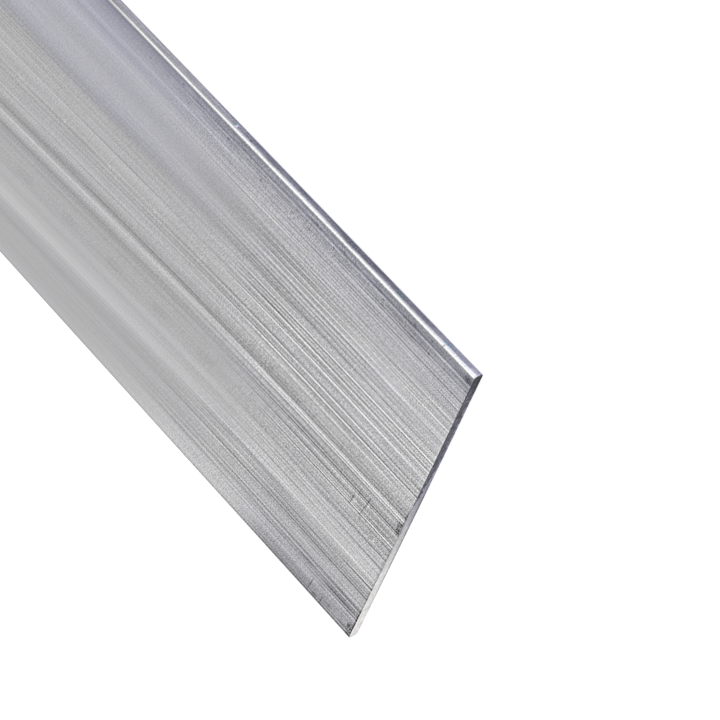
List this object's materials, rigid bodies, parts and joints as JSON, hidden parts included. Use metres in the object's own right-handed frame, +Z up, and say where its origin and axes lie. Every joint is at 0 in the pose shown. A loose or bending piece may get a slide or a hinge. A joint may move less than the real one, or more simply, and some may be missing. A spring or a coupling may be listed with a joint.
{
  "type": "flat bar",
  "caption": "Thin aluminium flat bar in mill finish, with fine die lines along its faces, slightly rounded long edges and square sawn ends.",
  "frame": {"origin": "centre of the underside, which lies on the floor", "axes": "+X along the bar, away from the end that the picture shows; +Y across its width; +Z up, out of the upper wide face"},
  "size_m": [1, 0.06, 0.002],
  "materials": {
    "mill_finish": "bare extruded aluminium with satin die lines along the length, and sawn ends"
  },
  "bodies": {
    "root": {"flat_bar": "mill_finish"}
  },
  "joints": []
}
